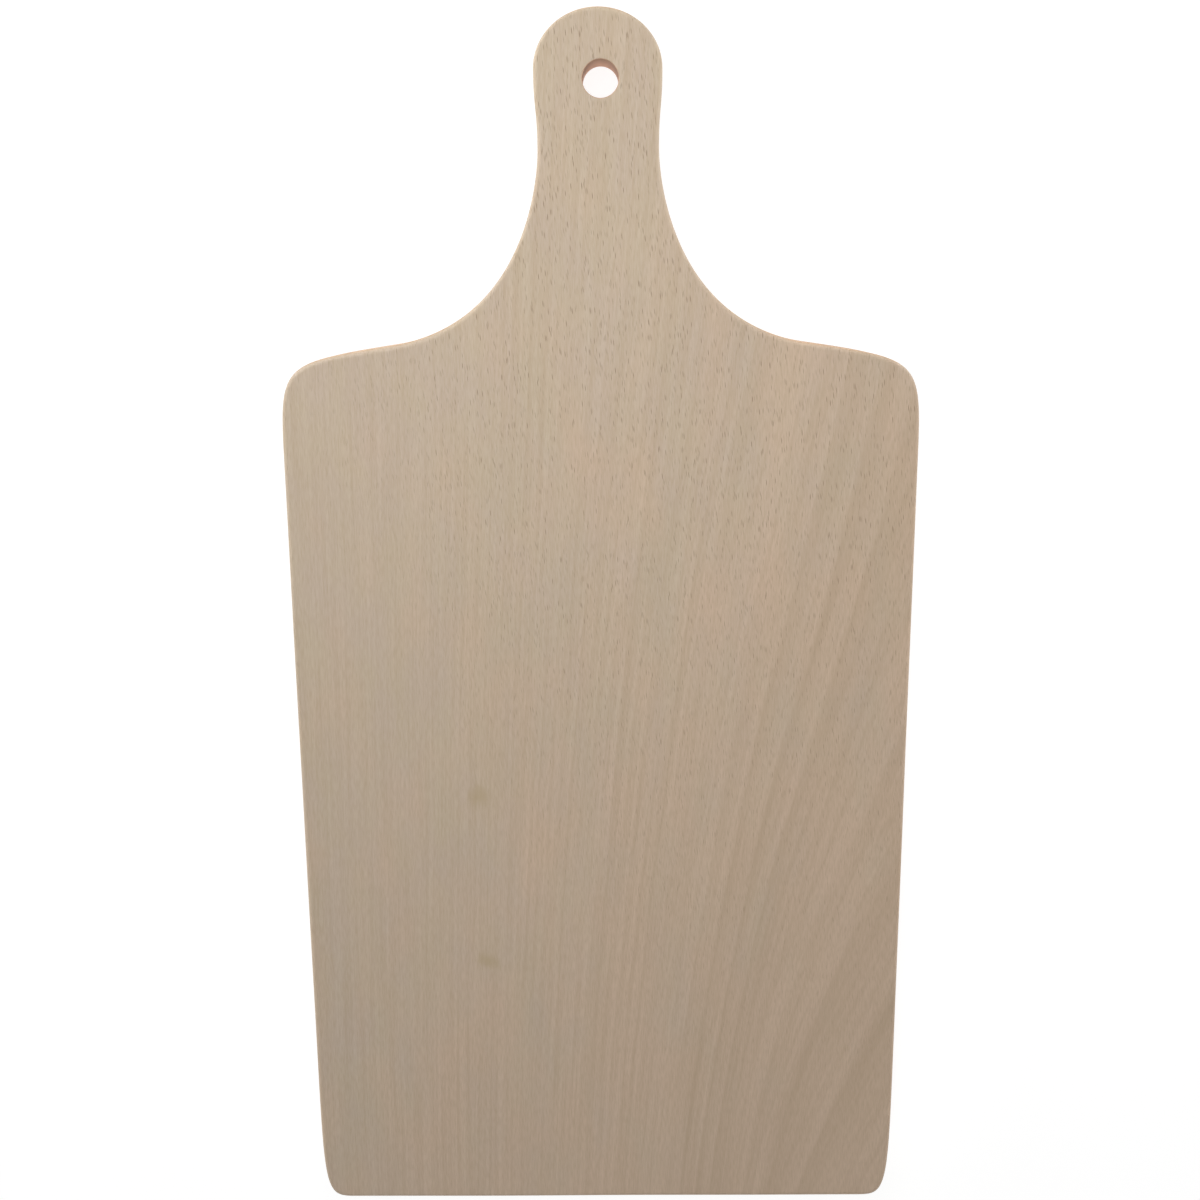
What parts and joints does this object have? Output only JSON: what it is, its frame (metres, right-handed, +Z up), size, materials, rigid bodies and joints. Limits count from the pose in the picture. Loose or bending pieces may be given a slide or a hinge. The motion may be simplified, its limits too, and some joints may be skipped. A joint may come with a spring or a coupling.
{
  "type": "cutting board",
  "caption": "Flat wooden cutting board with soft corners, sloping shoulders and a waisted handle with a hanging hole.",
  "frame": {"origin": "centre of the underside, under the middle of the board's length and width, on the surface it rests on", "axes": "+Y along the board towards the handle, +Z up out of the cutting face, +X to the right seen from above"},
  "size_m": [0.202, 0.4, 0.015],
  "materials": {
    "beech": "raw sanded beech with short dark ray flecks, no oil or lacquer"
  },
  "bodies": {
    "root": {"board": "beech"}
  },
  "joints": []
}
